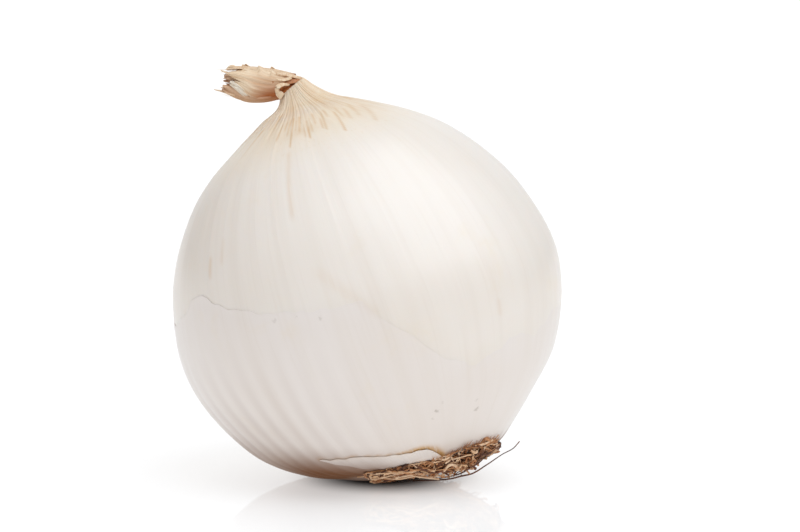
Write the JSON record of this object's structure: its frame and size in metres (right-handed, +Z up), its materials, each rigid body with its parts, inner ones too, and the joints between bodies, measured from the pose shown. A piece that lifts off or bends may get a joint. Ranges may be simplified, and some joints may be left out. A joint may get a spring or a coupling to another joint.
{
  "type": "onion",
  "caption": "Whole white onion in its papery skin, with a dried folded neck and a mat of dried roots, lying a little on its side.",
  "frame": {"origin": "middle of the flat spot that the onion rests on, under its centre of mass", "axes": "+Z up from the surface that the onion lies on; the neck leans to -X and a little to +Y; the roots are under the +X side, a little to -Y"},
  "size_m": [0.0795, 0.08, 0.0849],
  "materials": {
    "white_skin": "satin papery onion skin, creamy white, with fine lengthwise veins",
    "dry_leaf": "dry tan leaf fibre, matt, with lengthwise grain",
    "dry_root": "dry brown root fibre, matt"
  },
  "bodies": {
    "root": {"bulb": "white_skin", "dry_neck": "dry_leaf", "roots": "dry_root"}
  },
  "joints": []
}
